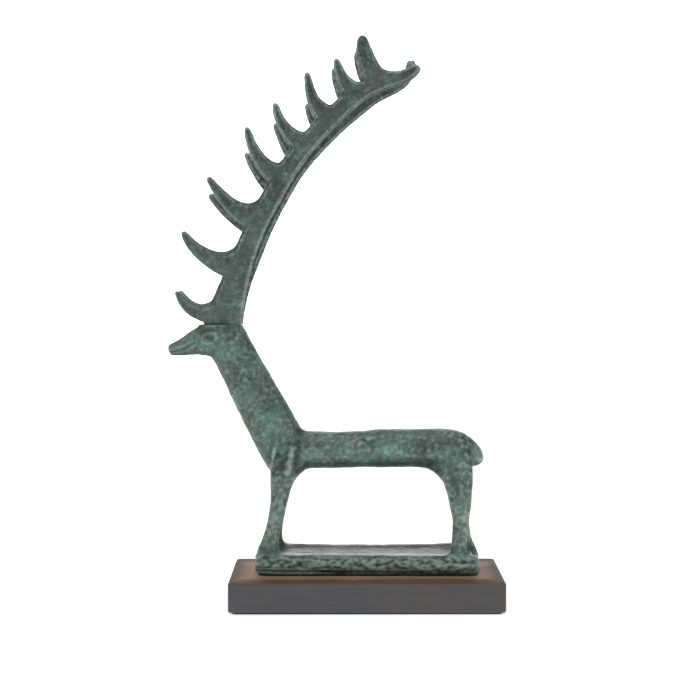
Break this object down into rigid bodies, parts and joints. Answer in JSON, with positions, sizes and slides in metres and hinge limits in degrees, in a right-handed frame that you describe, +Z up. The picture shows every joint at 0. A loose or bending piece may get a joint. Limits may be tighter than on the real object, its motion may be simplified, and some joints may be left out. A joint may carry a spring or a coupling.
{
  "type": "stag statuette",
  "caption": "Cast bronze figure of a standing stag with long raked antlers, bolted through its ground plate to a stained wooden plinth with a felt base.",
  "frame": {"origin": "middle of the felt's underside, which the statuette rests on", "axes": "+Z up; the stag faces -X and its left side is towards -Y"},
  "size_m": [0.1845, 0.075, 0.3112],
  "materials": {
    "patinated_bronze": "waxed green-grey patina, semi-gloss",
    "bare_bronze": "machined",
    "stained_wood": "satin stain",
    "zinc_steel": "zinc plated",
    "black_felt": "pressed felt"
  },
  "bodies": {
    "root": {"stag_casting": "patinated_bronze", "left_antler": "patinated_bronze", "right_antler": "patinated_bronze", "left_antler_pin": "bare_bronze", "right_antler_pin": "bare_bronze", "plinth": "stained_wood", "front_stud": "zinc_steel", "rear_stud": "zinc_steel", "front_washer": "zinc_steel", "rear_washer": "zinc_steel", "front_nut": "zinc_steel", "rear_nut": "zinc_steel", "base_felt": "black_felt"}
  },
  "joints": []
}
